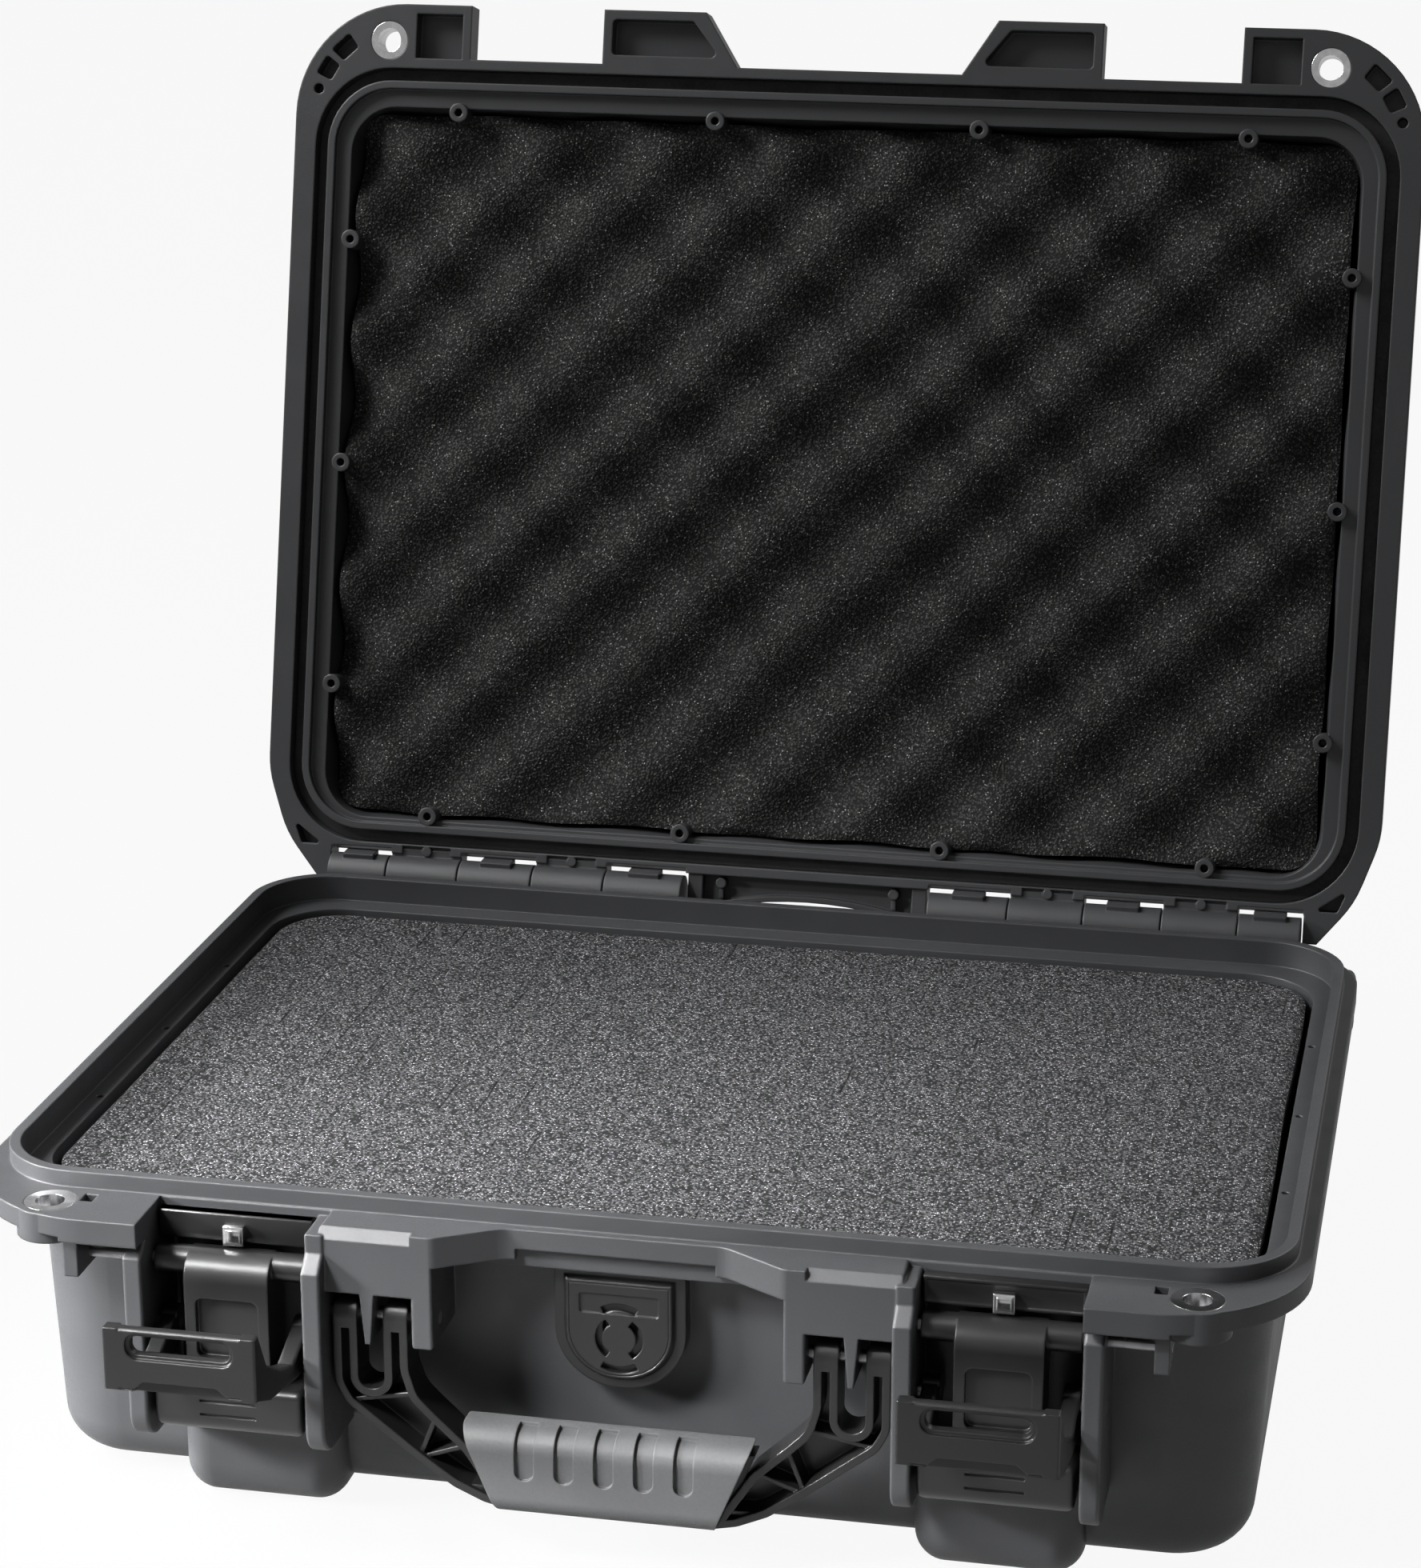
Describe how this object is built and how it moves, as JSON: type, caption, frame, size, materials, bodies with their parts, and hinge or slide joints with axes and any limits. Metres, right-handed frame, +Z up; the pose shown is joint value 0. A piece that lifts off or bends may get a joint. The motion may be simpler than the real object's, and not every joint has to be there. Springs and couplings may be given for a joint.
{
  "type": "protective hard case",
  "caption": "Moulded hard carrying case, open: hinged lid with egg-crate foam, cubed foam in the base, over-centre latches, swinging handle, pressure valve and padlock eyes.",
  "frame": {"origin": "middle of the base's underside, on the stacking panel, in the plane of the feet", "axes": "+Z up; -Y towards the front with the latches and the handle; +X to the right seen from the front; the case is symmetric about X = 0"},
  "size_m": [0.424, 0.4783, 0.4276],
  "materials": {
    "shell": "satin",
    "black": "satin",
    "grip": "satin",
    "seal": "matte",
    "membrane": "matte",
    "lid_foam": "matte",
    "base_foam": "matte",
    "steel": "satin",
    "bright": "polished"
  },
  "bodies": {
    "base": {"base_shell": "shell", "base_foam_pad": "base_foam", "base_foam_block": "base_foam", "valve_body": "black", "valve_seal": "seal", "valve_membrane": "membrane", "valve_plate": "black", "valve_nut": "black", "hinge_pin_left": "steel", "hinge_pin_right": "steel", "base_eyelet_left": "bright", "base_eyelet_right": "bright", "strap_bracket_left": "black", "strap_bracket_right": "black", "strap_pin_left": "bright", "strap_pin_right": "bright", "handle_pin_left": "steel", "handle_pin_right": "steel", "latch_lever_pin_left": "steel", "latch_lever_pin_right": "steel", "latch_claw_pins_left": "steel", "latch_claw_pins_right": "steel"},
    "lid": {"lid_shell": "shell", "lid_gasket": "seal", "lid_foam": "lid_foam", "lid_eyelet_left": "bright", "lid_eyelet_right": "bright"},
    "handle": {"handle_frame": "black", "handle_grip": "grip"},
    "lever_left": {"latch_lever_left": "black"},
    "claw_left": {"latch_claw_left": "black"},
    "lever_right": {"latch_lever_right": "black"},
    "claw_right": {"latch_claw_right": "black"}
  },
  "joints": [
    {"name": "lid_hinge", "type": "hinge", "parent": "base", "child": "lid", "pos_m": [0, 0.161, 0.107], "axis": [1, 0, 0], "range_deg": [0, 103.9]},
    {"name": "handle_swing", "type": "hinge", "parent": "base", "child": "handle", "pos_m": [0, -0.151, 0.076], "axis": [-1, 0, 0], "range_deg": [0, 95]},
    {"name": "lever_pull_left", "type": "hinge", "parent": "base", "child": "lever_left", "pos_m": [-0.1192, -0.1525, 0.089], "axis": [-1, 0, 0], "range_deg": [0, 14]},
    {"name": "claw_swing_left", "type": "hinge", "parent": "base", "child": "claw_left", "pos_m": [-0.1192, -0.15, 0.066], "axis": [-1, 0, 0], "range_deg": [0, 62]},
    {"name": "lever_pull_right", "type": "hinge", "parent": "base", "child": "lever_right", "pos_m": [0.1192, -0.1525, 0.089], "axis": [-1, 0, 0], "range_deg": [0, 14]},
    {"name": "claw_swing_right", "type": "hinge", "parent": "base", "child": "claw_right", "pos_m": [0.1192, -0.15, 0.066], "axis": [-1, 0, 0], "range_deg": [0, 62]}
  ]
}
